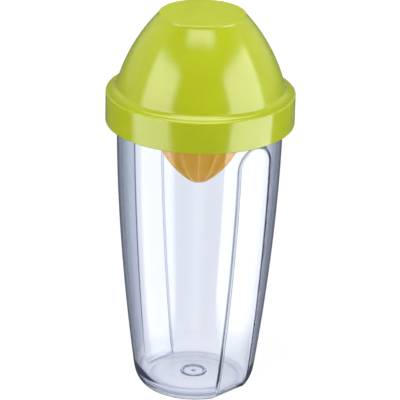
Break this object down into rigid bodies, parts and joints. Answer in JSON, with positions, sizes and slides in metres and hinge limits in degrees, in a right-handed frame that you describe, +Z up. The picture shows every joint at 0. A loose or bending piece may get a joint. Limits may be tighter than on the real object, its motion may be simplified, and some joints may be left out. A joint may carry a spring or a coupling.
{
  "type": "salad dressing shaker bottle",
  "caption": "Clear tapered shaker beaker with grip flats, a hanging citrus juicer with strainer, and a domed bayonet lid with a silicone seal.",
  "frame": {"origin": "centre of the foot ring, on the table", "axes": "+Z up along the bottle's axis, -Y the front from which the front grip flat shows on the right"},
  "size_m": [0.095, 0.095, 0.2],
  "materials": {
    "clear_plastic": "clear, polished",
    "amber_plastic": "translucent amber, glossy",
    "silicone": "milky, matt",
    "green_plastic": "opaque, soft gloss"
  },
  "bodies": {
    "beaker": {"beaker": "clear_plastic"},
    "juicer": {"juicer": "amber_plastic"},
    "lid_seal": {"lid_seal": "silicone"},
    "lid": {"lid": "green_plastic"}
  },
  "joints": [
    {"name": "insert_lift", "type": "slide", "parent": "beaker", "child": "juicer", "axis": [0, 0, 1], "range_m": [0, 0.06]},
    {"name": "lid_lift", "type": "slide", "parent": "juicer", "child": "lid_seal", "axis": [0, 0, 1], "range_m": [0, 0.04]},
    {"name": "lid_turn", "type": "hinge", "parent": "lid_seal", "child": "lid", "pos_m": [0, 0, 0.1596], "axis": [0, 0, 1], "range_deg": [-45, 0]}
  ]
}
